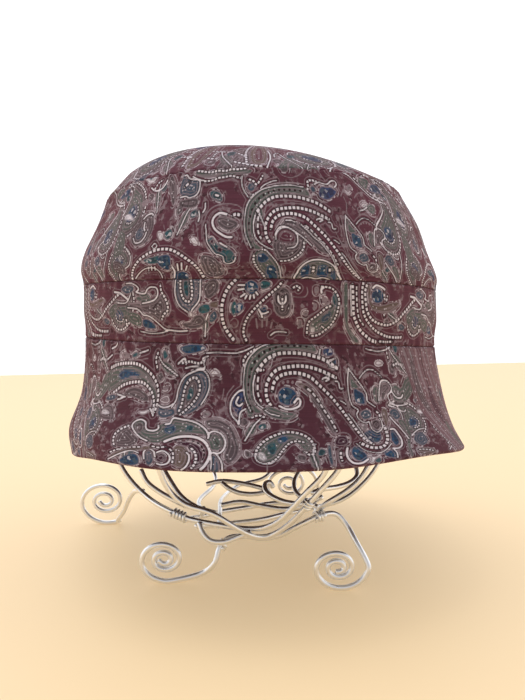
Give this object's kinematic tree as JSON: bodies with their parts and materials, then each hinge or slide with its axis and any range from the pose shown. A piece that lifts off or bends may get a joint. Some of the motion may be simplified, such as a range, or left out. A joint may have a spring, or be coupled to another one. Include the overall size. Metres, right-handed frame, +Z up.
{
  "type": "bucket hat on a wire stand",
  "caption": "Soft cloth bucket hat with a domed crown, a sewn band and a steep downturned brim, resting on a stand bent from aluminium wire with scroll feet.",
  "frame": {"origin": "under the middle of the whole, on the surface that the stand's feet rest on", "axes": "+Z up; -Y towards the front of the hat; +X towards the right as seen from the front"},
  "size_m": [0.2124, 0.226, 0.21],
  "materials": {
    "cloth": "thin matt woven cotton, burgundy with a printed paisley",
    "wire": "bright drawn wire, bent by hand"
  },
  "bodies": {
    "root": {"crown_tip": "cloth", "crown_side": "cloth", "crown_band": "cloth", "brim": "cloth", "top_hoop": "wire", "front_loop": "wire", "front_twin": "wire", "right_wire": "wire", "floor_wire": "wire", "back_left_wire": "wire", "back_wire": "wire", "front_feet": "wire", "back_left_foot": "wire", "back_right_foot": "wire"}
  },
  "joints": []
}
